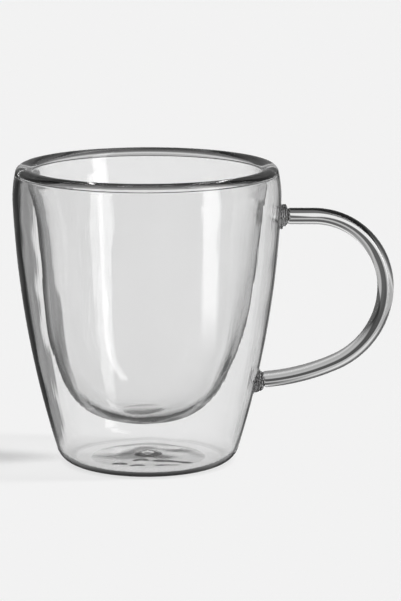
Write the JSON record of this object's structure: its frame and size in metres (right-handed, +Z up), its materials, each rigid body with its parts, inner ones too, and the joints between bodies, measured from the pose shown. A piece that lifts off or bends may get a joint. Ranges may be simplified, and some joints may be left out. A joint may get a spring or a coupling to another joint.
{
  "type": "double walled glass cup",
  "caption": "Clear double walled glass cup: an egg-shaped bowl sealed inside a tapered outer shell by one rounded lip, with an ear-shaped glass rod handle.",
  "frame": {"origin": "centre of the base, on the table", "axes": "+Z up through the lip, +X towards the handle, +Y to the right-hand rule"},
  "size_m": [0.1205, 0.0848, 0.095],
  "materials": {
    "clear_glass": "clear polished glass, flame smoothed",
    "fused_glass": "clear glass that was melted on, lumpy with fine seeds"
  },
  "bodies": {
    "root": {"inner_bowl": "clear_glass", "outer_shell": "clear_glass", "rim_bead": "fused_glass", "handle_rod": "clear_glass", "upper_handle_weld": "fused_glass", "lower_handle_weld": "fused_glass", "vent_seal": "fused_glass"}
  },
  "joints": []
}
